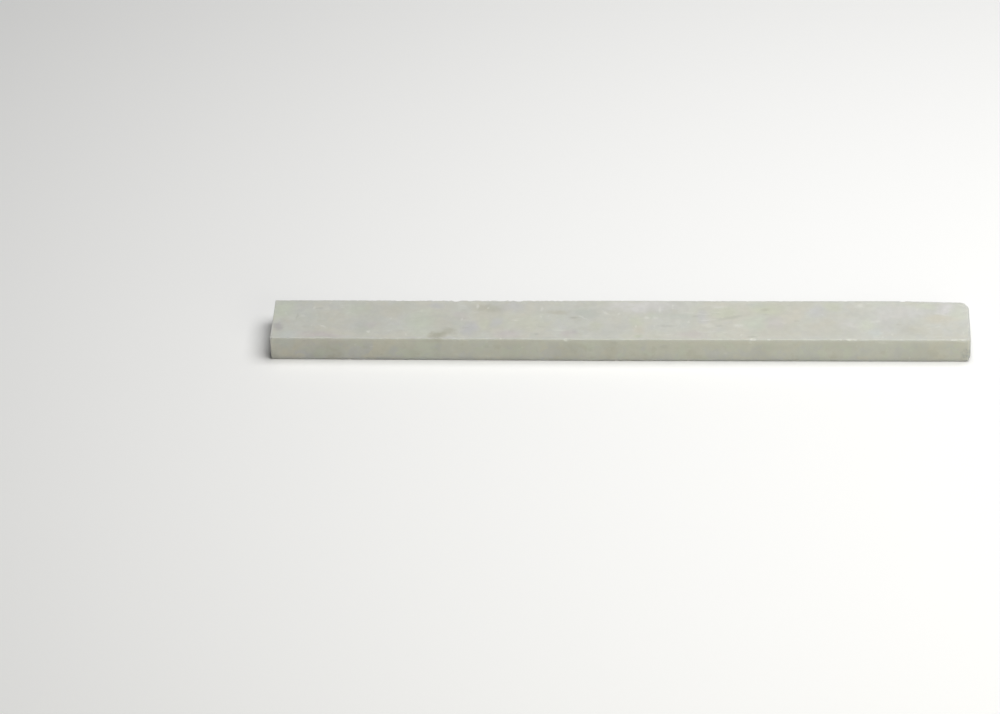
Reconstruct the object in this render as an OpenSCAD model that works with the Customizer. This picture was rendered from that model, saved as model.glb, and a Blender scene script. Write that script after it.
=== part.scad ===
// Flat soapstone marking stick, sawn from the block and rubbed at its edges.
// +X runs along the stick from the square sawn end to the worn end, +Y across
// its width to the far side, +Z up through its thickness. The origin is in the
// middle of the underside. All sizes are millimetres.

/* [Stick] */
// Length from the sawn end to the worn end
stick_l = 127; // [90:1:200]
// Width from the near side to the far side
stick_w = 12.7; // [8:0.1:25]
// Thickness from the underside to the upper face
stick_t = 4.76; // [3.2:0.02:12]

/* [Edges] */
// Leg of the small flat rubbed along each long edge
edge_rub = 0.12; // [0.06:0.01:0.2]
// Leg of the small flat rubbed around the sawn end
saw_rub = 0.12; // [0.06:0.01:0.4]

/* [Worn end] */
// Radius of the far corner, seen from above
far_corner_r = 1.9; // [0.8:0.1:3.5]
// Radius of the near corner, seen from above
near_corner_r = 0.6; // [0.4:0.1:3.5]
// Radius of the lower edge
toe_r = 1.1; // [0.6:0.1:1.8]
// Radius of the upper edge
brow_r = 0.4; // [0.1:0.05:0.9]
// How much further the near corner reaches than the far one
end_skew = 0.14; // [0.06:0.01:0.3]

/* [Uneven width] */
// Width lost from the far side at the worn end
far_taper_w = 0.5; // [0.1:0.05:0.8]
// Length of the stretch over which the far side draws in
far_taper_l = 12; // [8:1:40]
// Width lost from the near side at the sawn end
near_taper_w = 0.4; // [0.1:0.05:0.8]
// Length of the stretch over which the near side draws in
near_taper_l = 62; // [20:1:70]

/* [Chips] */
// Number of small nicks spread over the four long edges
nick_count = 20; // [4:1:36]
// Chord of the longest nick, along its edge
nick_l = 1.1; // [0.6:0.1:1.6]
// Depth of the deepest nick, square to the sharp edge
nick_d = 0.18; // [0.18:0.01:0.4]
// Number of closer nicks in the rough stretch of the far upper edge
rough_count = 9; // [2:1:14]

/* [Hidden] */

// Colour of the stone
stone = [0.79, 0.79, 0.74];
// Facets of a rounding, and how far a cutting solid reaches past the stick
round_fn = 96;
past = 1;
// Where the rough stretch starts and ends, as shares of the length
rough_from = 0.17;
rough_to = 0.42;
// Steps that spread the nicks evenly without repeating
step_place = 0.618034;
step_chord = 0.754878;
step_depth = 0.56984;

// Larger chips of the upper edges: place as a share of the length from the sawn
// end, side (-1 near, 1 far), chord, depth, and the lean of the break above level
CHIPS = [
    [0.425, -1, 1.5, 0.22, 12],
    [0.691, -1, 1.5, 0.20, 84],
    [0.830, -1, 2.9, 0.20, 65],
    [0.976, -1, 1.9, 0.14, 78],
    [0.990, -1, 1.4, 0.22, 38],
    [0.262, 1, 1.8, 0.24, 62],
    [0.352, 1, 2.2, 0.24, 50],
    [0.905, 1, 1.6, 0.20, 45]
];

// Share of a whole step that is left at the i-th of evenly spread steps
function spread(i, step) = i * step - floor(i * step);
// A size between 55% and 100% of the largest
function some_of(largest, i, step) = largest * (0.55 + 0.45 * spread(i, step));
// Radius of the ball whose scoop has this chord and depth
function ball_r(chord, depth) = (chord * chord / 4 + depth * depth) / (2 * depth);
function heading(angle) = [cos(angle), sin(angle)];
// Where two lines meet; each is given by its outward heading and its distance that way
function meet(heading_1, off_1, heading_2, off_2) =
    [off_1 * sin(heading_2) - off_2 * sin(heading_1),
        off_2 * cos(heading_1) - off_1 * cos(heading_2)] / sin(heading_2 - heading_1);
// How far a side is drawn in at this share of the length: the far side towards
// the worn end, the near side towards the sawn end
function drawn_in(share, side) = side > 0
    ? max(0, share * stick_l - (stick_l - far_taper_l)) * far_taper_w / far_taper_l
    : max(0, near_taper_l - share * stick_l) * near_taper_w / near_taper_l;

// The bar's section: Y across, Z up, with a rubbed flat on each corner
module section() {
    half = stick_w / 2;
    polygon([
        [edge_rub - half, 0], [half - edge_rub, 0],
        [half, edge_rub], [half, stick_t - edge_rub],
        [half - edge_rub, stick_t], [edge_rub - half, stick_t],
        [-half, stick_t - edge_rub], [-half, edge_rub]
    ]);
}

// The sawn bar at its full length
module bar() {
    translate([-stick_l / 2, 0, 0])
        rotate([90, 0, 90]) linear_extrude(stick_l) section();
}

// A flat outline of what a rounding takes off, from one heading to another
module corner_waste(r, from, to) {
    reach = r + past;
    difference() {
        polygon([[0, 0], reach * heading(from),
            reach * sqrt(2) * heading((from + to) / 2), reach * heading(to)]);
        circle(r = r, $fn = round_fn);
    }
}

// A standing round of the worn end's corner, rubbed above and below as the edges are
module corner_post(r) {
    rotate_extrude($fn = round_fn) polygon([
        [0, 0], [r - edge_rub, 0], [r, edge_rub],
        [r, stick_t - edge_rub], [r - edge_rub, stick_t], [0, stick_t]
    ]);
}

// What is worn off a standing corner, rounded to r between these two outward headings
module worn_corner(centre, r, from, to) {
    reach = r + past;
    translate(centre) difference() {
        translate([0, 0, -past]) linear_extrude(stick_t + 2 * past)
            polygon([[0, 0], reach * heading(from),
                reach * sqrt(2) * heading((from + to) / 2), reach * heading(to)]);
        corner_post(r);
    }
}

// What is worn off an end edge that runs across the stick, centred at x, z
module worn_edge(x, z, r, from, to) {
    translate([x, stick_w + past, z])
        rotate([90, 0, 0]) linear_extrude(2 * stick_w)
            corner_waste(r, from, to);
}

// One side's long taper towards an end, with its edges rubbed too; as drawn it is
// the far side's, towards the worn end
module side_taper(w, l) {
    lean = atan(w / l);
    translate([stick_l / 2 - l, stick_w / 2, 0]) rotate([90, 0, 90 - lean])
        linear_extrude(l + 2 * past)
            polygon([
                [-edge_rub, -past], [-edge_rub, 0], [0, edge_rub],
                [0, stick_t - edge_rub], [-edge_rub, stick_t],
                [-edge_rub, stick_t + past], [w + past, stick_t + past],
                [w + past, -past]
            ]);
}

// The bar with both of its sides drawn in, which comes before any wear
module tapered_bar() {
    difference() {
        bar();
        side_taper(far_taper_w, far_taper_l);
        rotate([0, 0, 180]) side_taper(near_taper_w, near_taper_l);
    }
}

// What is worn off the end face and its lower and upper edges, before it is skewed
module face_waste() {
    worn_edge(stick_l / 2 - toe_r, toe_r, toe_r, -90, 0);
    worn_edge(stick_l / 2 - brow_r, stick_t - brow_r, brow_r, 0, 90);
    translate([stick_l / 2, past - stick_w, -past])
        cube([past, 2 * stick_w, stick_t + 2 * past]);
}

// The worn end: a skewed face with eased edges, and two rounded corners
module end_wear() {
    skew = atan(end_skew / stick_w);
    lean = atan(far_taper_w / far_taper_l);
    // Outward distances of the end face, the far side and the near side from the origin
    face_off = stick_l / 2 * cos(skew) - stick_w / 2 * sin(skew);
    far_off = (stick_l / 2 - far_taper_l) * sin(lean) + stick_w / 2 * cos(lean);
    near_off = stick_w / 2;
    worn_corner(meet(skew, face_off - far_corner_r, 90 - lean, far_off - far_corner_r),
        far_corner_r, skew, 90 - lean);
    worn_corner(meet(-90, near_off - near_corner_r, skew, face_off - near_corner_r),
        near_corner_r, -90, skew);
    translate([stick_l / 2, -stick_w / 2, 0]) rotate([0, 0, skew])
        translate([-stick_l / 2, stick_w / 2, 0]) face_waste();
}

// One rubbed flat across the sawn end: a triangle run along an edge of this length
module rub_strip(length) {
    translate([0, 0, -length / 2 - past]) linear_extrude(length + 2 * past)
        polygon([[-past, -past], [saw_rub + past, -past], [-past, saw_rub + past]]);
}

// The four rubbed edges around the sawn end
module saw_wear() {
    end_x = -stick_l / 2;
    for (side = [-1, 1]) {
        translate([end_x, side * (stick_w / 2 - drawn_in(0, side)), stick_t / 2])
            mirror([0, (side + 1) / 2, 0]) rub_strip(stick_t);
        translate([end_x, 0, stick_t / 2 + side * stick_t / 2])
            mirror([0, 0, (side + 1) / 2]) rotate([90, 0, 0]) rub_strip(stick_w);
    }
}

// A scoop broken from a long edge: share of the length, side, level (0 lower, 1
// upper), chord along the edge, depth, and lean of the break above or below level
module scoop(share, side, level, chord, depth, lean) {
    r = ball_r(chord, depth);
    out = r - depth;
    up = level > 0 ? 1 : -1;
    translate([
        (share - 0.5) * stick_l,
        side * (stick_w / 2 - drawn_in(share, side) + out * cos(lean)),
        level * stick_t + up * out * sin(lean)
    ]) sphere(r = r, $fn = round_fn);
}

// The larger chips, the small nicks of all edges, and those of the rough stretch
module chip_wear() {
    for (chip = CHIPS)
        scoop(chip[0], chip[1], 1, chip[2], chip[3], chip[4]);
    for (i = [1 : nick_count])
        scoop(0.03 + 0.92 * spread(i, step_place), i % 2 == 0 ? 1 : -1,
            floor(i / 2) % 2, some_of(nick_l, i, step_chord),
            some_of(nick_d, i, step_depth), 45);
    for (i = [1 : rough_count])
        scoop(rough_from + (rough_to - rough_from) * spread(i, step_place), 1, 1,
            some_of(nick_l, i, step_depth), some_of(nick_d, i, step_chord), 50);
}

module chalk_stick() {
    color(stone) difference() {
        tapered_bar();
        end_wear();
        saw_wear();
        chip_wear();
    }
}

chalk_stick();
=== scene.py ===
# %% [markdown]
# # A flat soapstone marking stick
# Soapstone is soft talc rock. It is sawn into flat sticks that draw white lines on steel or
# cloth. This lesson dresses a sawn stick: the bar and its worn end, the broken edges, the saw's
# traces, and then the clouded, faintly translucent stone itself. The packed solid is the frame,
# so every size and place below starts from its box.

# %% Load the frame
import math
import bpy
import bmesh
import numpy as np
from mathutils import Matrix, Vector, noise


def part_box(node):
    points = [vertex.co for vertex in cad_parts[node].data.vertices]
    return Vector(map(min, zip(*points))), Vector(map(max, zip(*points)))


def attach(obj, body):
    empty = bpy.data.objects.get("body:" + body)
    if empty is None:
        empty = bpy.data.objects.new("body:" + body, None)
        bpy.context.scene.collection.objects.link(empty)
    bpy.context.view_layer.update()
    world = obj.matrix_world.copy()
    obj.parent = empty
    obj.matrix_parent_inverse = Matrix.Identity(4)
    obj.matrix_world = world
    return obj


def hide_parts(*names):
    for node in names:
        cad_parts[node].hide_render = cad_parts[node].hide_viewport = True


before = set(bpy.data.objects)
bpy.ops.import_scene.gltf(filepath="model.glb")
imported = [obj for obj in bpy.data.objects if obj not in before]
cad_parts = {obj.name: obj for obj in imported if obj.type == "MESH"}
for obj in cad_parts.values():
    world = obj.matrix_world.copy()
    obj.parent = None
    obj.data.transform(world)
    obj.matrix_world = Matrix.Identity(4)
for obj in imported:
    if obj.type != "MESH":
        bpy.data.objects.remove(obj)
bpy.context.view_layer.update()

MM = 0.001
low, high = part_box("chalk_stick")
stick_l, stick_w, stick_t = high - low
print("stick", [round(v / MM, 2) for v in (stick_l, stick_w, stick_t)], "mm")

# %% [markdown]
# ## Camera
# A long lens, about a metre away and a third of the way up from level to overhead, keeps the
# stick's two ends nearly the same size. The view is given as a point to look at, a heading, a
# height angle and a small roll, so that each of them can be changed by itself.

# %% Camera
aim = Vector((-21.80 * MM, -5.12 * MM, low.z))
view_heading = math.radians(-4.01)
view_height = math.radians(34.19)
view_roll = math.radians(-2.14)
view_distance = 0.9826
lens_mm = 194.4

forward = Vector((math.sin(view_heading) * math.cos(view_height),
                  math.cos(view_heading) * math.cos(view_height),
                  -math.sin(view_height)))
camera_data = bpy.data.cameras.new("camera")
camera_data.lens = lens_mm
camera_data.sensor_width = 36.0
camera_data.clip_start = 0.01
camera = bpy.data.objects.new("camera", camera_data)
facing = forward.to_track_quat("-Z", "Y").to_matrix().to_4x4()
camera.matrix_world = (Matrix.Translation(aim - forward * view_distance) @ facing
                       @ Matrix.Rotation(view_roll, 4, "Z"))
bpy.context.scene.collection.objects.link(camera)
bpy.context.scene.camera = camera
print("camera at", [round(v, 3) for v in camera.matrix_world.translation], "m")

# %% [markdown]
# ## The sawn bar
# The real stick is a strip cut from a slab by a toothed saw, so it is a plain bar with edges that
# have only been rubbed in the box. A cube is added at the solid's size and place, and a bevel of a
# tenth of a millimetre takes the sharpness off all twelve edges. Bevelling before anything else
# keeps that rub even all round.

# %% Going into edit mode and out of it
def edit(piece):
    """Open one piece alone in edit mode, with nothing selected."""
    bpy.ops.object.select_all(action="DESELECT")
    piece.select_set(True)
    bpy.context.view_layer.objects.active = piece
    bpy.ops.object.mode_set(mode="EDIT")
    bpy.ops.mesh.select_all(action="DESELECT")


def leave_edit():
    """Go back to object mode, which writes the edit into the mesh."""
    bpy.ops.object.mode_set(mode="OBJECT")


# %% Start from a cube and rub its edges
edge_rub = 0.10 * MM
rub_steps = 2

bpy.ops.object.select_all(action="DESELECT")
bpy.ops.mesh.primitive_cube_add(size=1.0, location=(low + high) / 2)
stick = bpy.context.active_object
stick.name = "soapstone_stick"
stick.scale = (stick_l, stick_w, stick_t)
bpy.ops.object.transform_apply(location=True, rotation=True, scale=True)

edit(stick)
bpy.ops.mesh.select_all(action="SELECT")
bpy.ops.mesh.bevel(offset=edge_rub, segments=rub_steps, affect="EDGES")
leave_edit()
print("rubbed bar:", len(stick.data.polygons), "faces")

# %% [markdown]
# ## Cuts for the detail
# Chips and saw marks need points to move. The cuts crowd together beside each edge, where stone
# breaks away, and stand further apart on the broad faces, where there is only shallow texture.
# Bisect planes make the cuts across the width, the thickness and near the two ends, and
# subdivide cuts the long strips that are left between them.

# %% Bisect beside the edges
edge_cuts = [0.18, 0.27, 0.38, 0.52, 0.70, 0.94, 1.25]
further_end_cuts = [1.6, 2.0, 2.4]
face_step = 0.36 * MM


def cut_places(start, end):
    """Places of the cuts from one face to the opposite one: close at both, even between."""
    near = [start + c * MM for c in edge_cuts]
    far = [end - c * MM for c in reversed(edge_cuts)]
    count = max(1, round((far[0] - near[-1]) / face_step))
    between = [near[-1] + (far[0] - near[-1]) * i / count for i in range(1, count)]
    return near + between + far


def bisect_all(axis, places):
    """Cut the whole piece by planes that stand square to one axis."""
    normal = Vector([float(axis == i) for i in range(3)])
    for place in places:
        bpy.ops.mesh.select_all(action="SELECT")
        bpy.ops.mesh.bisect(plane_co=normal * place, plane_no=normal)


edit(stick)
bisect_all(1, cut_places(low.y, high.y))
bisect_all(2, cut_places(low.z, high.z))
end_cuts = [c * MM for c in edge_cuts + further_end_cuts]
bisect_all(0, [low.x + c for c in end_cuts] + [high.x - c for c in end_cuts])
leave_edit()
print("bisected bar:", len(stick.data.vertices), "points")

# %% Subdivide the long strips
strip_cuts = (24, 24)
long_enough = 1.0 * MM


def select_long_edges():
    """Select the edges that run along the stick between its end cuts."""
    mesh = bmesh.from_edit_mesh(stick.data)
    for edge in mesh.edges:
        edge.select = abs(edge.verts[0].co.x - edge.verts[1].co.x) > long_enough
    bmesh.update_edit_mesh(stick.data)


edit(stick)
bpy.ops.mesh.select_mode(type="EDGE")
for cuts in strip_cuts:
    select_long_edges()
    bpy.ops.mesh.subdivide(number_cuts=cuts)
bpy.ops.mesh.select_mode(type="VERT")
leave_edit()
print("cut bar:", len(stick.data.vertices), "points,", len(stick.data.polygons), "faces")

# %% [markdown]
# ## The worn end
# One end has been drawn with. Its far corner is rounded most, its near corner less, its lower edge
# is rolled under and its upper edge only eased. The saw didn't run quite true either: the far
# side draws in towards the worn end, the near side towards the sawn end, and the worn end's face
# is a hair askew. Every rounding is the same small trick: the square of points at a corner is
# turned into a quarter disc, which keeps their order and crowds nothing.

# %% Sizes of the worn end
far_corner_r = 1.9 * MM
near_corner_r = 0.6 * MM
toe_r = 1.1 * MM
brow_r = 0.4 * MM
far_taper_w = 0.5 * MM
far_taper_l = 12 * MM
near_taper_w = 0.4 * MM
near_taper_l = 62 * MM
end_skew = 0.14 * MM
print("worn end: far corner", far_corner_r / MM, "mm, near corner", near_corner_r / MM, "mm")


# %% Points as rows of numbers, and where the two sides stand
def read_points(piece):
    """The piece's points as rows of x, y and z."""
    co = np.empty(len(piece.data.vertices) * 3)
    piece.data.vertices.foreach_get("co", co)
    return co.reshape(-1, 3)


def write_points(piece, co):
    piece.data.vertices.foreach_set("co", co.ravel())
    piece.data.update()


def towards_worn_end(x):
    """0 where the far side starts to draw in, and 1 at the worn end."""
    return np.clip((x - (high.x - far_taper_l)) / far_taper_l, 0, 1)


def side_y(x, side):
    """Where the far (1) or the near (-1) side stands at this place along the stick."""
    if side > 0:
        drawn_in = far_taper_w * towards_worn_end(x)
    else:
        drawn_in = near_taper_w * np.clip((low.x + near_taper_l - x) / near_taper_l, 0, 1)
    return side * (stick_w / 2 - drawn_in)


# %% Round the worn end
def round_corner(co, first, second, corner, r):
    """Turn the r by r square of points at a corner into a quarter disc, seen along one axis.

    corner holds the corner's place and which way is outwards, for each of the two axes."""
    (edge_a, out_a), (edge_b, out_b) = corner
    a = (co[:, first] - (edge_a - out_a * r)) * out_a
    b = (co[:, second] - (edge_b - out_b * r)) * out_b
    inside = (a > 0) & (b > 0)
    a, b = a[inside], b[inside]
    shrink = np.maximum(a, b) / np.hypot(a, b)
    co[inside, first] = (edge_a - out_a * r) + out_a * a * shrink
    co[inside, second] = (edge_b - out_b * r) + out_b * b * shrink


points = read_points(stick)
round_corner(points, 0, 2, ((high.x, 1), (low.z, -1)), toe_r)
round_corner(points, 0, 2, ((high.x, 1), (high.z, 1)), brow_r)
round_corner(points, 0, 1, ((high.x, 1), (high.y, 1)), far_corner_r)
round_corner(points, 0, 1, ((high.x, 1), (low.y, -1)), near_corner_r)
share_across = (points[:, 1] - low.y) / stick_w
near_y, far_y = side_y(points[:, 0], -1), side_y(points[:, 0], 1)
points[:, 1] = near_y + (far_y - near_y) * share_across
points[:, 0] -= end_skew * share_across * towards_worn_end(points[:, 0])
write_points(stick, points)
print("far side at the worn end:", round(side_y(high.x, 1) / MM, 2), "mm from the middle")

# %% [markdown]
# ## Chips and broken edges
# Talc is soft and layered, so a sawn edge breaks away in little scoops as the sticks knock about
# in their box. The larger scoops and the spread nicks are the solid's own. Each is a ball held
# outside the edge: a point that falls inside the ball is pushed out to its skin. Here the ball's
# skin is rough, because a real break is grainy, and every moved point remembers how far it went,
# so that the finish can show fresh, powdery stone there.

# %% Chips and nicks of the long edges
larger_chips = [  # share of the length, side, chord, depth, lean of the break in degrees
    (0.425, -1, 1.5, 0.22, 12),
    (0.691, -1, 1.5, 0.20, 84),
    (0.830, -1, 2.9, 0.20, 65),
    (0.976, -1, 1.9, 0.14, 78),
    (0.990, -1, 1.4, 0.22, 38),
    (0.262, 1, 1.8, 0.24, 62),
    (0.352, 1, 2.2, 0.24, 50),
    (0.905, 1, 1.6, 0.20, 45),
]
nick_count, nick_l, nick_d, nick_lean = 20, 1.1, 0.18, 45
nicks_from, nicks_reach = 0.03, 0.92
rough_count, rough_from, rough_to, rough_lean = 9, 0.17, 0.42, 50
step_place, step_chord, step_depth = 0.618034, 0.754878, 0.56984


def spread(i, step):
    """Share of a whole step that is left at the i-th of evenly spread steps."""
    return (i * step) % 1.0


def some_of(largest, i, step):
    """A size between 55% and 100% of the largest."""
    return largest * (0.55 + 0.45 * spread(i, step))


print("scoops:", len(larger_chips), "chips,", nick_count, "nicks and", rough_count, "close ones")

# %% Push the points out of the scoops
skin_grain = 0.7 * MM
skin_rough = 0.35
upper, lower = 1, 0


def grain(co, size, seed=0.0):
    """Smooth noise from -1 to 1 at each point, whose lumps are about this size."""
    shift = Vector((seed, seed * 1.7, seed * 0.3))
    return np.array([noise.noise(Vector(p) / size + shift) for p in co])


def scoop(co, share, side, level, chord, depth, lean):
    """Push the points that lie in one rough ball out to its skin."""
    chord, depth, lean = chord * MM, depth * MM, math.radians(lean)
    ball = (chord * chord / 4 + depth * depth) / (2 * depth)
    out = ball - depth
    place = low.x + share * stick_l
    centre = np.array([
        place,
        side_y(place, side) + side * out * math.cos(lean),
        (high.z if level else low.z) + (1 if level else -1) * out * math.sin(lean)])
    near = np.flatnonzero(np.linalg.norm(co - centre, axis=1) < ball + depth)
    away = co[near] - centre
    reach = np.linalg.norm(away, axis=1)
    skin = ball + depth * skin_rough * grain(co[near], skin_grain, seed=share * 50)
    hit = reach < skin
    co[near[hit]] = centre + away[hit] / reach[hit, None] * skin[hit, None]


points = read_points(stick)
before = points.copy()
for share, side, chord, depth, lean in larger_chips:
    scoop(points, share, side, upper, chord, depth, lean)
for i in range(1, nick_count + 1):
    share = nicks_from + nicks_reach * spread(i, step_place)
    scoop(points, share, 1 if i % 2 == 0 else -1, (i // 2) % 2,
          some_of(nick_l, i, step_chord), some_of(nick_d, i, step_depth), nick_lean)
for i in range(1, rough_count + 1):
    share = rough_from + (rough_to - rough_from) * spread(i, step_place)
    scoop(points, share, 1, upper,
          some_of(nick_l, i, step_depth), some_of(nick_d, i, step_chord), rough_lean)
scooped = np.linalg.norm(points - before, axis=1)
print("scoops moved", int((scooped > 0).sum()), "points")

# %% [markdown]
# Between the scoops the edge isn't a clean line either: it crumbles grain by grain. A chamfer of
# changing width does that. Its width follows noise along the edge, it leans now to one face and
# now to the other, and it is widest on the far upper edge's rough stretch.

# %% Crumble the four long edges
crumb_least = 0.07 * MM
crumb_most = 0.09 * MM
crumb_grain = (0.55 * MM, 1.9 * MM)
crumb_reach = 1.6 * MM
crumb_usual, crumb_fine, crumb_broad, crumb_contrast = 0.45, 0.9, 0.7, 1.5
crumb_lean = 0.5
rough_stretch_more = 1.8
lower_edges_less = 0.7


def crumble(co, side, level, seed, most):
    """Cut a ragged chamfer along one long edge."""
    from_side = side * (side_y(co[:, 0], side) - co[:, 1])
    from_face = high.z - co[:, 2] if level else co[:, 2] - low.z
    near = np.flatnonzero((from_side + from_face < crumb_reach)
                          & (co[:, 0] < high.x - far_corner_r))
    on_edge = co[near].copy()
    on_edge[:, 1:] = 0
    fine = grain(on_edge, crumb_grain[0], seed)
    broad = grain(on_edge, crumb_grain[1], seed + 9.0)
    lean = grain(on_edge, crumb_grain[1], seed + 21.0)
    share = (on_edge[:, 0] - low.x) / stick_l
    in_rough = (share > rough_from) & (share < rough_to) & (side > 0)
    rough = np.where(in_rough, rough_stretch_more, 1.0)
    ragged = np.clip(crumb_usual + crumb_fine * fine + crumb_broad * broad, 0, 1)
    leg = crumb_least + most * rough * ragged ** crumb_contrast
    weight_side, weight_face = 1 + crumb_lean * lean, 1 - crumb_lean * lean
    short = leg - (from_side[near] * weight_side + from_face[near] * weight_face)
    cut = short > 0
    push = short[cut] / (weight_side[cut] ** 2 + weight_face[cut] ** 2)
    rows = near[cut]
    co[rows, 1] -= side * push * weight_side[cut]
    co[rows, 2] -= (1 if level else -1) * push * weight_face[cut]


crumble(points, -1, upper, 3.0, crumb_most)
crumble(points, 1, upper, 5.0, crumb_most)
crumble(points, -1, lower, 7.0, crumb_most * lower_edges_less)
crumble(points, 1, lower, 11.0, crumb_most * lower_edges_less)
write_points(stick, points)
print("crumbling moved", int((np.linalg.norm(points - before, axis=1) > scooped).sum()), "points")

# %% How far each point is broken, and how near an edge it lies
full_break = 0.08 * MM
scoop_powder, crumb_powder, far_powder = 0.75, 0.42, 0.25
edge_reach = 0.8 * MM
moved = np.linalg.norm(points - before, axis=1)
broken = np.maximum(scoop_powder * np.clip(scooped / full_break, 0, 1),
                    crumb_powder * np.clip(moved / full_break, 0, 1))
broken *= np.where(points[:, 1] > 0, far_powder, 1.0)
from_side = np.minimum(points[:, 1] - side_y(points[:, 0], -1),
                       side_y(points[:, 0], 1) - points[:, 1])
from_face = np.minimum(points[:, 2] - low.z, high.z - points[:, 2])
beside_edge = np.clip(1 - (from_side + from_face) / edge_reach, 0, 1)
print("broken points:", int((broken > 0).sum()))

# %% [markdown]
# ## Saw marks and a hand-sawn unevenness
# The saw blade leaves shallow arcs that cross every face at a slant, and the bar itself is never
# quite flat. Both are far shallower than they look: a few hundredths of a millimetre, moved along
# each point's own normal.

# %% Relief of the sawn faces
blade_r = 90 * MM
blade_offset = 0.55
saw_pitch = 0.85 * MM
saw_depth = 0.007 * MM
arc_wander, wander_size = 0.8, 6 * MM
fading_size = 4 * MM
unevenness, uneven_size = 0.035 * MM, 11 * MM
pit_depth, pit_size, pit_rareness = 0.012 * MM, 0.8 * MM, 0.25


def point_normals(piece):
    """The way each point of the piece faces."""
    normals = np.empty(len(piece.data.vertices) * 3)
    piece.data.vertices.foreach_get("normal", normals)
    return normals.reshape(-1, 3)


def saw_arcs(co):
    """Height of the saw's traces: arcs of the blade's radius, one for each step of the feed.

    The blade's centre is off to one side, which slants the arcs, and they come and go."""
    cross = co[:, 1] + co[:, 2] + blade_offset * blade_r
    feed = co[:, 0] + np.sqrt(np.maximum(blade_r ** 2 - cross ** 2, 0))
    wander = grain(co, wander_size, 31.0) * arc_wander
    fading = 0.6 + 0.4 * grain(co, fading_size, 37.0)
    return np.sin(2 * math.pi * feed / saw_pitch + wander) * fading


normals = point_normals(stick)
relief = (saw_depth * saw_arcs(points)
          + unevenness * grain(points, uneven_size, 41.0)
          - pit_depth * np.clip(grain(points, pit_size, 43.0) - pit_rareness, 0, 1) * 2)
points += normals * relief[:, None]
points = np.clip(points, np.array(low), np.array(high))
write_points(stick, points)
print("relief from", round(relief.min() / MM, 3), "to", round(relief.max() / MM, 3), "mm")

# %% Keep the broken places and the edges, and shade the faces
merge_gap = 0.0005 * MM
crease_angle = math.radians(40)
for name, values in (("broken", broken), ("edge", beside_edge)):
    kept = stick.data.attributes.new(name, "FLOAT", "POINT")
    kept.data.foreach_set("value", values.astype(np.float32))

edit(stick)
bpy.ops.mesh.select_all(action="SELECT")
bpy.ops.mesh.remove_doubles(threshold=merge_gap)
bpy.ops.mesh.normals_make_consistent(inside=False)
leave_edit()
bpy.ops.object.shade_smooth_by_angle(angle=crease_angle)
print("finished mesh:", sum(len(f.vertices) - 2 for f in stick.data.polygons), "triangles")

# %% [markdown]
# ## A notation for shader sums
# A finish is a sum of masks and colours. To read it as sums, one small class wraps a socket and
# lets it be added, subtracted and multiplied as a number is. Each sign adds one Math node.

# %% Sockets that can be reckoned with
class Field:
    """A value that varies over the surface."""

    def __init__(self, recipe, socket):
        self.recipe = recipe
        self.socket = socket

    def _math(self, operation, *values):
        return self.recipe.add("ShaderNodeMath", {"operation": operation}, dict(enumerate(values)))

    def __add__(self, other):
        return self._math("ADD", self, other)

    def __sub__(self, other):
        return self._math("SUBTRACT", self, other)

    def __mul__(self, other):
        return self._math("MULTIPLY", self, other)

    def __rsub__(self, other):
        return self._math("SUBTRACT", other, self)

    __radd__ = __add__
    __rmul__ = __mul__

    def step(self, start, end, low_value=0.0, high_value=1.0):
        """A soft step from one value to the other, as this field goes from start to end."""
        return self.recipe.add("ShaderNodeMapRange", {"interpolation_type": "SMOOTHSTEP"},
                               {0: self, 1: start, 2: end, 3: low_value, 4: high_value})


# %% [markdown]
# ## Recipes of nodes
# A recipe is one material. It adds any other node with its settings first and its inputs after,
# and has a few short words for what a stone needs again and again: a blend of two colours, noise
# of a given size, and scattered flecks. Sizes are given in millimetres, as on a drawing.

# %% A material that is put together node by node
class Recipe:
    """A material that is put together node by node."""

    def __init__(self, name):
        self.material = bpy.data.materials.new(name)
        self.material.use_nodes = True
        self.tree = self.material.node_tree
        self.tree.nodes.clear()

    def add(self, kind, settings=None, inputs=None, output=0):
        """Add a node: its settings first, then its inputs, by name or by number."""
        node = self.tree.nodes.new(kind)
        for name, value in (settings or {}).items():
            setattr(node, name, value)
        for key, value in (inputs or {}).items():
            if isinstance(value, Field):
                self.tree.links.new(value.socket, node.inputs[key])
            else:
                node.inputs[key].default_value = value
        return Field(self, node.outputs[output]) if node.outputs else None

    def vector(self, operation, *values, output=0):
        return self.add("ShaderNodeVectorMath", {"operation": operation},
                        dict(enumerate(values)), output)

    def scaled(self, vector, factor):
        return self.add("ShaderNodeVectorMath", {"operation": "SCALE"}, {0: vector, 3: factor})

    def mix(self, factor, first, second, blend="MIX"):
        """Blend two colours. A colour is three numbers or a field."""
        first, second = [(*c, 1.0) if isinstance(c, tuple) else c for c in (first, second)]
        return self.add("ShaderNodeMix", {"data_type": "RGBA", "blend_type": blend},
                        {0: factor, 6: first, 7: second}, output=2)

    def noise(self, vector, size, detail=2.0, roughness=0.5, distortion=0.0, output=0):
        """Noise whose lumps are about this size in millimetres, on a vector in millimetres."""
        return self.add("ShaderNodeTexNoise", {"noise_dimensions": "3D"},
                        {"Vector": vector, "Scale": 1.0 / size, "Detail": detail,
                         "Roughness": roughness, "Distortion": distortion}, output)

    def flecks(self, vector, stretch, apart, reach, fewness):
        """Soft spots about this far apart: each cell holds one, and most cells hide theirs."""
        stretched = self.vector("MULTIPLY", vector, stretch)
        cells = [self.add("ShaderNodeTexVoronoi", None, {"Vector": stretched,
                                                         "Scale": 1.0 / apart}, output)
                 for output in (0, 1)]
        chance = self.add("ShaderNodeSeparateColor", None, {0: cells[1]})
        return cells[0].step(reach, reach * 0.4) * chance.step(fewness, fewness + 0.15)


print("a recipe can", ", ".join(word for word in vars(Recipe) if not word.startswith("_")))

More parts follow.
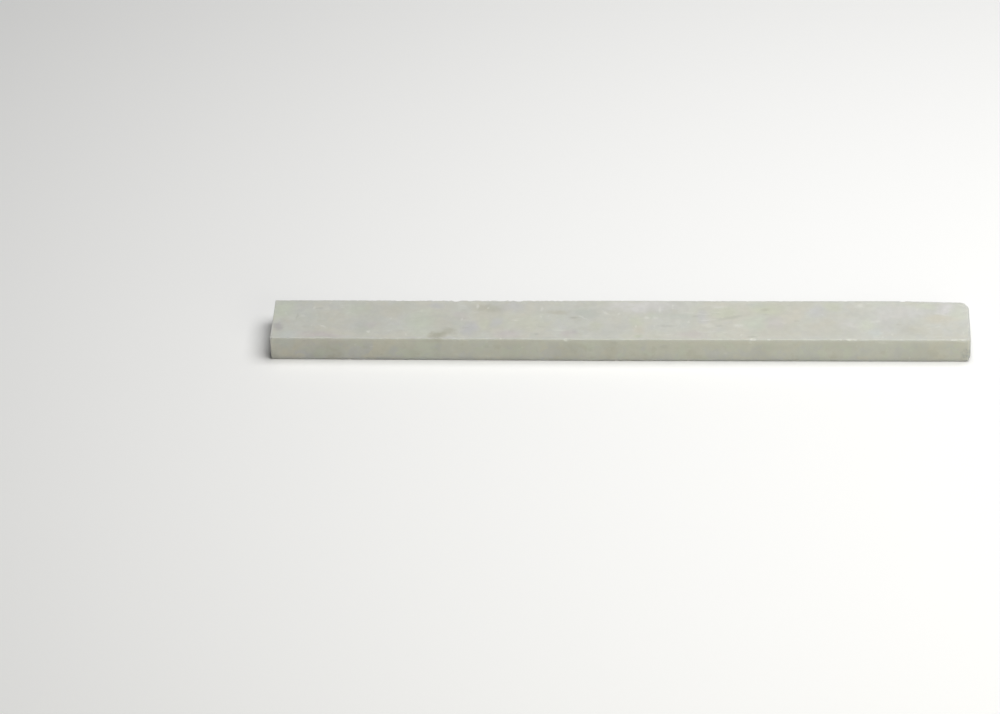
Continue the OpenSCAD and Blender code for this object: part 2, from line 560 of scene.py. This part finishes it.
# %% [markdown]
# ## The stone
# Soapstone is talc with a little chlorite and carbonate. Its body is a pale grey-green that light
# soaks into. Broad clouds drift between a warm yellow-green and a cool blue-grey, thin layers
# cross the stick at a slant, and dark and light grains are scattered through it. A picture would
# fit one face only, so all of it is worked out in millimetres through the whole body, and a vein
# on top carries on down the side. The tints come first, as shares of red, green and blue light.

# %% Tints of the stone
stone_cool = (0.562, 0.570, 0.530)
stone_warm = (0.572, 0.566, 0.504)
stone_blue = (0.518, 0.520, 0.536)
stone_lilac = (0.560, 0.528, 0.526)
stone_rose = (0.548, 0.518, 0.500)
stone_mauve = (0.420, 0.400, 0.410)
stone_leaf = (0.562, 0.592, 0.508)
stone_moss = (0.556, 0.572, 0.468)
stone_slate = (0.498, 0.526, 0.484)
stone_khaki = (0.498, 0.488, 0.412)
stone_beige = (0.586, 0.564, 0.484)
stone_mint = (0.600, 0.624, 0.534)
stone_aqua = (0.572, 0.596, 0.566)
stone_frost = (0.645, 0.635, 0.630)
stone_dark = (0.370, 0.372, 0.330)
stone_olive = (0.385, 0.380, 0.300)
stone_pale = (0.740, 0.740, 0.700)
stone_green = (0.490, 0.525, 0.410)
# Grey of painted shade on the long edges.
stone_edge_shade = (0.430, 0.430, 0.430)
# Grey of painted shade over the worn end's lower corner, and of the grit in its pores.
stone_grime_and_shade = (0.300, 0.332, 0.350)
talc_powder = (0.820, 0.815, 0.780)
print("talc powder reflects", round(sum(talc_powder) / 3, 2), "of the light")

# %% [markdown]
# ### Places for the patterns
# Every pattern looks itself up at a place. The plain place is the point itself in millimetres.
# Drifting places wander by a few millimetres, so that no large patch has a regular outline, and
# nearby places wander less, for the small marks. Layered places are turned and drawn out along
# the bedding of the rock, and so is all that is laid out on them.

# %% The material and its places
stone = Recipe("soapstone")
place = stone.scaled(stone.add("ShaderNodeTexCoord", output=3), 1 / MM)
along, across, up = [stone.add("ShaderNodeSeparateXYZ", None, {0: place}, axis)
                     for axis in range(3)]
bedding_turn = (0.12, -0.05, -math.radians(26))
bedding_stretch = (0.28, 1.0, 1.0)
layered = stone.add("ShaderNodeMapping", {"vector_type": "POINT"},
                    {0: place, 2: bedding_turn, 3: bedding_stretch})


def warped(size, reach):
    """Places that wander by this reach, in lumps of this size."""
    lumps = stone.noise(place, size, 3.0, 0.6, output=1)
    wander = stone.vector("SUBTRACT", lumps, (0.5, 0.5, 0.5))
    return stone.vector("ADD", place, stone.scaled(wander, reach))


drifting = warped(3.2, 3.2)
nearby = warped(0.9, 0.8)
top_mm, side_mm, end_mm = high.z / MM, high.y / MM, high.x / MM
sawn_end_mm = low.x / MM
print("patterns run from", round(sawn_end_mm, 1), "to", round(end_mm, 1), "mm along the stick")

# %% [markdown]
# ### Clouds
# The cool and the warm ground colour meet in clouds about nine millimetres across, and smaller
# clouds of leaf green, beige, blue and khaki lie over them. Noise makes them, because stone has no
# plan. They show fully on the sides, the ends and below, and faintly on the upper face, where
# the listed patches take over.

# %% Ground colours and smaller clouds
drift = stone.noise(drifting, 9.0, 3.0, 0.55).step(0.36, 0.64)
colour = stone.mix(drift, stone_cool, stone_warm)
elsewhere = up.step(top_mm - 0.3, top_mm - 1.8, 0.30, 1.0)
leaning = stone.noise(drifting, 4.0, 3.0, 0.6)
cooling = stone.noise(stone.scaled(drifting, -1.0), 3.4, 3.0, 0.6)
small_clouds = [  # noise, where it begins and where it is full, how strongly it shows, tint
    (leaning, 0.52, 0.62, 0.80, stone_leaf),
    (leaning, 0.48, 0.38, 0.80, stone_beige),
    (cooling, 0.53, 0.64, 0.60, stone_blue),
    (cooling, 0.44, 0.35, 0.60, stone_khaki),
]
for cloud, begins, full, amount, tint in small_clouds:
    colour = stone.mix(cloud.step(begins, full, 0.0, amount) * elsewhere, colour, tint)
print("kinds of small cloud:", len(small_clouds))

# %% [markdown]
# ### Patches, veins and marks of the upper face
# The upper face of this stick has patches, veins and small marks that make it known among its
# neighbours, so they are placed one by one. Each row is one soft oval: mm from the sawn end, mm
# from the near side, its reach along and across the stick in mm, its turn in degrees, its tint,
# and how strongly it shows.

# %% Patches
patches = [
    (1.3, 9.8, 3.2, 3.4, 0, stone_leaf, 0.95),
    (3.0, 1.6, 2.6, 1.4, 0, stone_aqua, 1.00),
    (9.0, 1.4, 5.4, 1.2, 0, stone_rose, 1.00),
    (15.5, 9.8, 3.0, 2.2, 0, stone_leaf, 0.70),
    (16.4, 3.4, 2.0, 2.2, 0, stone_slate, 0.45),
    (18.2, 4.7, 1.5, 0.9, 0, stone_lilac, 0.60),
    (21.5, 8.6, 2.6, 2.2, 0, stone_beige, 0.50),
    (23.8, 7.3, 1.8, 1.2, 0, stone_mauve, 0.16),
    (27.0, 5.4, 3.4, 4.6, 0, stone_leaf, 0.85),
    (29.6, 10.7, 1.7, 1.1, 0, stone_blue, 0.60),
    (34.4, 7.8, 2.0, 1.6, 0, stone_rose, 0.60),
    (36.2, 3.6, 1.9, 3.0, 0, stone_blue, 0.75),
    (38.7, 4.6, 1.6, 2.4, 0, stone_moss, 0.60),
    (41.0, 5.2, 1.0, 2.1, -10, stone_blue, 0.60),
    (43.2, 1.8, 2.6, 1.6, 0, stone_lilac, 0.70),
    (43.4, 10.5, 3.2, 1.6, 0, stone_blue, 0.45),
    (47.0, 5.5, 5.0, 3.0, 0, stone_moss, 0.40),
    (51.8, 8.8, 2.8, 0.9, 0, stone_khaki, 0.75),
    (54.2, 2.0, 1.9, 1.2, 0, stone_rose, 0.80),
    (57.2, 8.3, 2.2, 1.7, 0, stone_slate, 0.70),
    (59.2, 4.2, 1.4, 1.6, 0, stone_moss, 0.60),
    (61.8, 2.2, 4.2, 2.4, 0, stone_cool, 0.60),
    (67.5, 10.9, 7.5, 2.2, 0, stone_frost, 0.72),
    (66.2, 5.6, 1.4, 2.6, 0, stone_moss, 0.75),
    (66.7, 3.0, 1.2, 1.5, 0, stone_beige, 0.90),
    (69.2, 7.5, 1.7, 1.2, 0, stone_leaf, 0.60),
    (73.5, 4.6, 5.5, 4.2, 0, stone_aqua, 0.35),
    (74.6, 7.5, 3.0, 0.9, -4, stone_slate, 0.50),
    (78.7, 7.6, 1.4, 2.8, 0, stone_blue, 0.55),
    (76.6, 1.5, 3.4, 1.2, 0, stone_rose, 0.70),
    (82.6, 8.7, 2.8, 2.2, 0, stone_moss, 0.80),
    (88.2, 11.0, 1.9, 1.1, 0, stone_slate, 0.60),
    (90.2, 9.6, 3.4, 2.3, 0, stone_moss, 0.95),
    (88.0, 5.2, 3.0, 2.8, 0, stone_leaf, 0.85),
    (92.0, 5.2, 1.9, 2.6, 0, stone_lilac, 0.50),
    (95.4, 8.4, 2.4, 3.0, 0, stone_beige, 0.55),
    (99.4, 9.0, 2.2, 1.8, 0, stone_blue, 0.45),
    (101.0, 3.8, 6.5, 4.2, 0, stone_beige, 0.40),
    (102.2, 10.8, 1.8, 1.8, 0, stone_moss, 0.75),
    (104.5, 4.9, 1.7, 1.8, 0, stone_frost, 0.35),
    (108.2, 4.9, 1.7, 2.0, 0, stone_mint, 0.80),
    (109.6, 2.2, 1.5, 1.7, 0, stone_aqua, 0.90),
    (111.6, 4.6, 1.4, 4.0, 0, stone_lilac, 0.28),
    (114.5, 8.6, 6.5, 2.8, 0, stone_frost, 0.50),
    (116.8, 2.4, 3.2, 2.0, 0, stone_khaki, 0.45),
    (119.2, 11.0, 2.4, 1.5, 0, stone_mint, 0.80),
    (121.4, 6.8, 3.8, 1.8, 0, stone_beige, 0.90),
    (122.6, 10.0, 2.0, 2.2, 0, stone_frost, 0.85),
    (125.2, 8.4, 1.8, 2.4, 0, stone_mint, 0.60),
]
print("rows of patches:", len(patches))

# %% Veins
veins = [
    (0.8, 4.1, 1.2, 1.1, 0, stone_mauve, 0.62),
    (30.5, 1.0, 1.9, 1.2, 0, stone_olive, 0.75),
    (32.2, 2.4, 1.9, 1.3, 24, stone_olive, 0.50),
    (39.0, 10.2, 3.3, 1.4, -6, stone_olive, 0.42),
    (55.3, 2.6, 0.8, 0.9, 0, stone_mauve, 0.35),
    (83.6, 7.1, 3.4, 0.6, 17, stone_dark, 0.32),
    (89.9, 9.7, 0.9, 0.6, 0, stone_olive, 0.42),
]
print("rows of veins:", len(veins))

# %% Small marks
marks = [
    (4.4, 7.4, 0.25, 1.2, 0, stone_dark, 0.32),
    (5.5, 7.5, 0.6, 0.6, 0, stone_pale, 0.35),
    (9.2, 4.2, 0.9, 0.3, -38, stone_pale, 0.45),
    (17.9, 2.5, 0.4, 0.5, 0, stone_pale, 0.60),
    (37.3, 10.7, 0.3, 0.9, 0, stone_pale, 0.50),
    (44.3, 6.2, 0.9, 0.3, -8, stone_pale, 0.38),
    (48.4, 1.7, 0.5, 0.4, 0, stone_dark, 0.40),
    (49.1, 9.9, 0.3, 0.9, 0, stone_pale, 0.40),
    (55.0, 7.0, 1.0, 0.34, 0, stone_dark, 0.55),
    (56.6, 7.1, 1.2, 0.3, -36, stone_pale, 0.45),
    (60.8, 8.6, 1.1, 0.3, -48, stone_pale, 0.38),
    (66.9, 1.0, 1.0, 0.7, 0, stone_green, 0.65),
    (68.3, 7.0, 0.7, 0.6, 0, stone_pale, 0.45),
    (69.9, 7.0, 0.6, 0.5, 0, stone_pale, 0.40),
    (70.6, 9.9, 0.3, 1.2, 0, stone_pale, 0.45),
    (71.8, 4.4, 1.7, 0.5, 0, stone_dark, 0.36),
    (79.6, 4.5, 1.3, 0.8, 0, stone_pale, 0.30),
    (81.4, 10.6, 1.7, 0.9, 0, stone_pale, 0.30),
    (85.0, 4.6, 1.1, 0.7, 0, stone_pale, 0.36),
    (87.6, 0.9, 1.4, 0.35, 8, stone_dark, 0.40),
    (107.0, 11.0, 1.0, 0.8, 30, stone_pale, 0.40),
    (109.8, 5.9, 1.2, 0.5, 12, stone_pale, 0.35),
    (125.5, 11.2, 0.9, 0.25, -32, stone_pale, 0.45),
]
print("rows of marks:", len(marks))

# %% [markdown]
# Each row is measured from its middle, at the upper face, as a distance in which its reach counts
# as one. Large patches reach far down into the stone and drift. Small marks stay close under the
# surface and keep nearly to their place.

# %% Lay the rows over the clouds
small_reach = 0.9
patch_down, mark_down = 4.0, 0.8
outer_rim, inner_rim = 1.3, 0.2
for row in patches + veins + marks:
    from_sawn_end, from_near_side, reach_along, reach_across, turn, tint, amount = row
    middle = (sawn_end_mm + from_sawn_end, from_near_side - side_mm, top_mm)
    small = min(reach_along, reach_across) < small_reach
    offset = stone.vector("SUBTRACT", nearby if small else drifting, middle)
    if turn:
        offset = stone.add("ShaderNodeVectorRotate", {"rotation_type": "Z_AXIS"},
                           {"Vector": offset, "Angle": -math.radians(turn)})
    reach = (reach_along, reach_across, mark_down if small else patch_down)
    distance = stone.vector("LENGTH", stone.vector("DIVIDE", offset, reach), output=1)
    colour = stone.mix(distance.step(outer_rim, inner_rim, 0.0, amount), colour, tint)
print("nodes so far:", len(stone.tree.nodes))

# %% [markdown]
# ### Layers and grains
# Slow light and dark goes over everything. The bedding shows here and there as light and green
# strokes. A faint mottle, short pale ticks across the stick, dark dashes along it and fine specks
# are the single grains of talc, chlorite and carbonate that the saw has cut through.

# %% Shade, strokes, flecks and specks
shade_on_top, shade_more_elsewhere = 0.08, 0.14
shade = stone.noise(drifting, 7.0, 2.0, 0.5).step(0.54, 0.36)
colour = stone.mix(shade * (elsewhere * shade_more_elsewhere + shade_on_top), colour, stone_dark)

strokes = stone.noise(layered, 0.9, 3.0, 0.6, 0.4)
shows = stone.noise(place, 7.0, 2.0, 0.5).step(0.46, 0.62)
colour = stone.mix(strokes.step(0.60, 0.72, 0.0, 0.34) * shows, colour, stone_pale)
colour = stone.mix(strokes.step(0.40, 0.29, 0.0, 0.30) * shows, colour, stone_green)

mottle = stone.noise(place, 1.3, 3.0, 0.6)
ticks = stone.flecks(nearby, (1.0, 0.5, 1.0), 1.6, 0.19, 0.66)
dashes = stone.flecks(nearby, (0.5, 1.0, 1.0), 2.3, 0.22, 0.62)
specks = stone.noise(place, 0.34, 2.0, 0.6)
grains = [  # how strongly it shows, tint
    (mottle.step(0.64, 0.38, 0.0, 0.13), stone_dark),
    (ticks * 0.30, stone_pale),
    (dashes * 0.28, stone_dark),
    (specks.step(0.68, 0.76, 0.0, 0.35), stone_pale),
    (specks.step(0.31, 0.24, 0.0, 0.30), stone_dark),
]
for amount, tint in grains:
    colour = stone.mix(amount, colour, tint)
print("kinds of grain:", len(grains))

# %% [markdown]
# ### Sides, painted shade and grit
# The narrow sides are a little yellower than the broad faces. The worn end has been drawn with,
# and its face is painted greyer as shade: a grey filter is multiplied in, which keeps the clouds
# under it. Its rounded lower corner is painted darker as shade, and grit and pale talc specks sit
# in its pores. The long edges are painted darker as shade too, which keeps them from glowing where
# light soaks through the thin stone: that is what the edge attribute of the mesh is for.

# %% Yellower sides and an end face painted grey as shade
yellower = 0.30
end_face_shade_filter = (0.815, 0.820, 0.855)
beside = (across.step(side_mm - 0.5, side_mm - 0.1)
          + across.step(0.5 - side_mm, 0.1 - side_mm))
colour = stone.mix(beside * yellower, colour, stone_moss)

along_nearby = stone.add("ShaderNodeSeparateXYZ", None, {0: nearby}, 0)
# Painted shade: the worn end's face is multiplied by a grey filter.
end_face = along_nearby.step(end_mm - 0.6, end_mm - 0.1)
colour = stone.mix(end_face, colour, end_face_shade_filter, "MULTIPLY")
print("nodes so far:", len(stone.tree.nodes))

# %% Painted shade and grit at the lower corner, and edges painted darker as shade
corner_shade_film, grime_in_pores, talc_in_pores = 0.22, 0.48, 0.40
edge_shade_amount = 0.36
lower_corner = (end_mm - 0.4, 0.2 - side_mm, low.z / MM + 1.5)
corner_shade_and_grit = stone.vector("DISTANCE", place, lower_corner, output=1).step(1.9, 0.9)
grit = stone.noise(place, 0.8, 4.0, 0.7)
# Painted shade: a grey film over the whole of the worn end's rounded lower corner; the specks
# below are grit and talc.
colour = stone.mix(corner_shade_and_grit * corner_shade_film, colour, stone_grime_and_shade)
colour = stone.mix(grit.step(0.50, 0.60) * corner_shade_and_grit * grime_in_pores, colour, stone_grime_and_shade)
colour = stone.mix(grit.step(0.42, 0.36) * corner_shade_and_grit * talc_in_pores, colour, stone_pale)

# Painted shade: the long edges are darkened towards grey, which keeps them from glowing where
# light soaks through the thin stone.
edge = stone.add("ShaderNodeAttribute", {"attribute_name": "edge"}, output=2)
colour = stone.mix(edge * edge_shade_amount, colour, stone_edge_shade)
print("nodes so far:", len(stone.tree.nodes))

# %% [markdown]
# ### Powder on the breaks
# A fresh break in talc is matt and nearly white with powder. The broken attribute says how far
# each point was pushed in. Powder shows on all the deeper scoops, but on the crumbled edges only
# in some stretches and along the near edge's first part. The same pale is laid as a thin line on
# the near half of the sawn end's upper edge, where there is no break.

# %% Powder
powder_cover = 0.50
worn = stone.add("ShaderNodeAttribute", {"attribute_name": "broken"}, output=2)
some_stretches = stone.noise(place, 2.6, 3.0, 0.5).step(0.51, 0.56)
deep = worn.step(0.45, 0.60)
first_part = along.step(sawn_end_mm + 27, sawn_end_mm + 12) * across.step(0.0, -2.0)
stretch = (some_stretches + deep + first_part).step(0.0, 1.0)
patchy = stone.noise(place, 0.5, 2.0, 0.6).step(0.30, 0.62, 0.35, 1.0)
# A pale line on the near half of the sawn end's upper edge, laid without a break under it.
sawn_rim = (along.step(sawn_end_mm + 0.30, sawn_end_mm + 0.10, 0.0, 0.7)
            * up.step(top_mm - 0.5, top_mm - 0.2) * across.step(-0.5, -2.0))
powder = worn * patchy * stretch + sawn_rim
colour = stone.mix(powder * powder_cover, colour, talc_powder)
print("nodes so far:", len(stone.tree.nodes))

# %% [markdown]
# ### Surface
# A sawn and handled stone is neither glossy nor dead matt, and its shine changes from place to
# place. A small bump of fine grain and of the bedding breaks up the highlights. Light goes a
# couple of millimetres into the stone and comes back slightly warm, so subsurface scattering
# does the rest: it is what makes the stick look like stone, and not like painted wood.

# %% Roughness, grain and the light inside
light_reach = 2.4 * MM
bump_strength, bump_height = 0.25, 0.05 * MM
rougher_when_broken = 0.15
sheen = stone.noise(place, 2.2, 3.0, 0.6)
roughness = sheen.step(0.3, 0.7, 0.50, 0.66) + worn * rougher_when_broken
grain_height = (stone.noise(place, 0.30, 3.0, 0.7) * 0.6
                + stone.noise(layered, 0.35, 2.0, 0.6) * 0.4)
normal = stone.add("ShaderNodeBump", None,
                   {"Strength": bump_strength, "Distance": bump_height,
                    "Height": grain_height})
surface = stone.add("ShaderNodeBsdfPrincipled", None, {
    "Base Color": colour, "Roughness": roughness, "Normal": normal,
    "IOR": 1.55, "Specular IOR Level": 0.20,
    "Subsurface Weight": 0.70, "Subsurface Radius": (1.0, 0.97, 0.85),
    "Subsurface Scale": light_reach})
stone.add("ShaderNodeOutputMaterial", None, {"Surface": surface})

stick.data.materials.clear()
stick.data.materials.append(stone.material)
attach(stick, "root")
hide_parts("chalk_stick")
print("finish:", len(stone.tree.nodes), "nodes")

# %% [markdown]
# ## Floor and light
# A plain pale sheet carries the stick. It lies a hair below the underside, because two faces in
# one plane would show through each other. One broad soft light hangs overhead, towards the worn
# end, so the upper face brightens that way. A weak warm one stands in front and keeps the near
# side readable, as pale paper on a bench would. The surroundings are faint, or they would wash
# out the difference between the two faces that makes the bar's shape plain.

# %% Floor
floor_w = 6.0
hair = 0.01 * MM
bpy.ops.object.select_all(action="DESELECT")
bpy.ops.mesh.primitive_plane_add(size=floor_w, location=(0, 0, low.z - hair))
floor = bpy.context.active_object
floor.name = "floor"
paper = Recipe("pale_floor")
paper_surface = paper.add("ShaderNodeBsdfPrincipled", None,
                          {"Base Color": (0.90, 0.90, 0.89, 1.0), "Roughness": 0.8,
                           "Specular IOR Level": 0.1})
paper.add("ShaderNodeOutputMaterial", None, {"Surface": paper_surface})
floor.data.materials.append(paper.material)
print("floor:", floor.dimensions.x, "m wide")

# %% Lights and surroundings
key_place, key_size, key_power = (0.11, 0.0, 0.35), 0.34, 1.66
fill_place, fill_size, fill_power = (0.15, -0.345, 0.115), 0.23, 0.357
fill_colour = (1.0, 0.97, 0.84)
surroundings_strength = 0.05


def soft_light(name, light_place, size, power, light_colour=(1.0, 1.0, 1.0)):
    """A square softbox that faces the stick."""
    data = bpy.data.lights.new(name, "AREA")
    data.shape = "SQUARE"
    data.size = size
    data.energy = power
    data.color = light_colour
    lamp = bpy.data.objects.new(name, data)
    lamp.location = light_place
    lamp.rotation_euler = (-Vector(light_place)).to_track_quat("-Z", "Y").to_euler()
    bpy.context.scene.collection.objects.link(lamp)


soft_light("key_light", key_place, key_size, key_power)
soft_light("fill_light", fill_place, fill_size, fill_power, fill_colour)

world = bpy.data.worlds.new("surroundings")
world.use_nodes = True
background = world.node_tree.nodes["Background"]
background.inputs["Color"].default_value = (1.0, 1.0, 1.0, 1.0)
background.inputs["Strength"].default_value = surroundings_strength
bpy.context.scene.world = world
bpy.context.scene.view_settings.view_transform = "Standard"
print("lights:", key_power, "W overhead and", fill_power, "W in front")
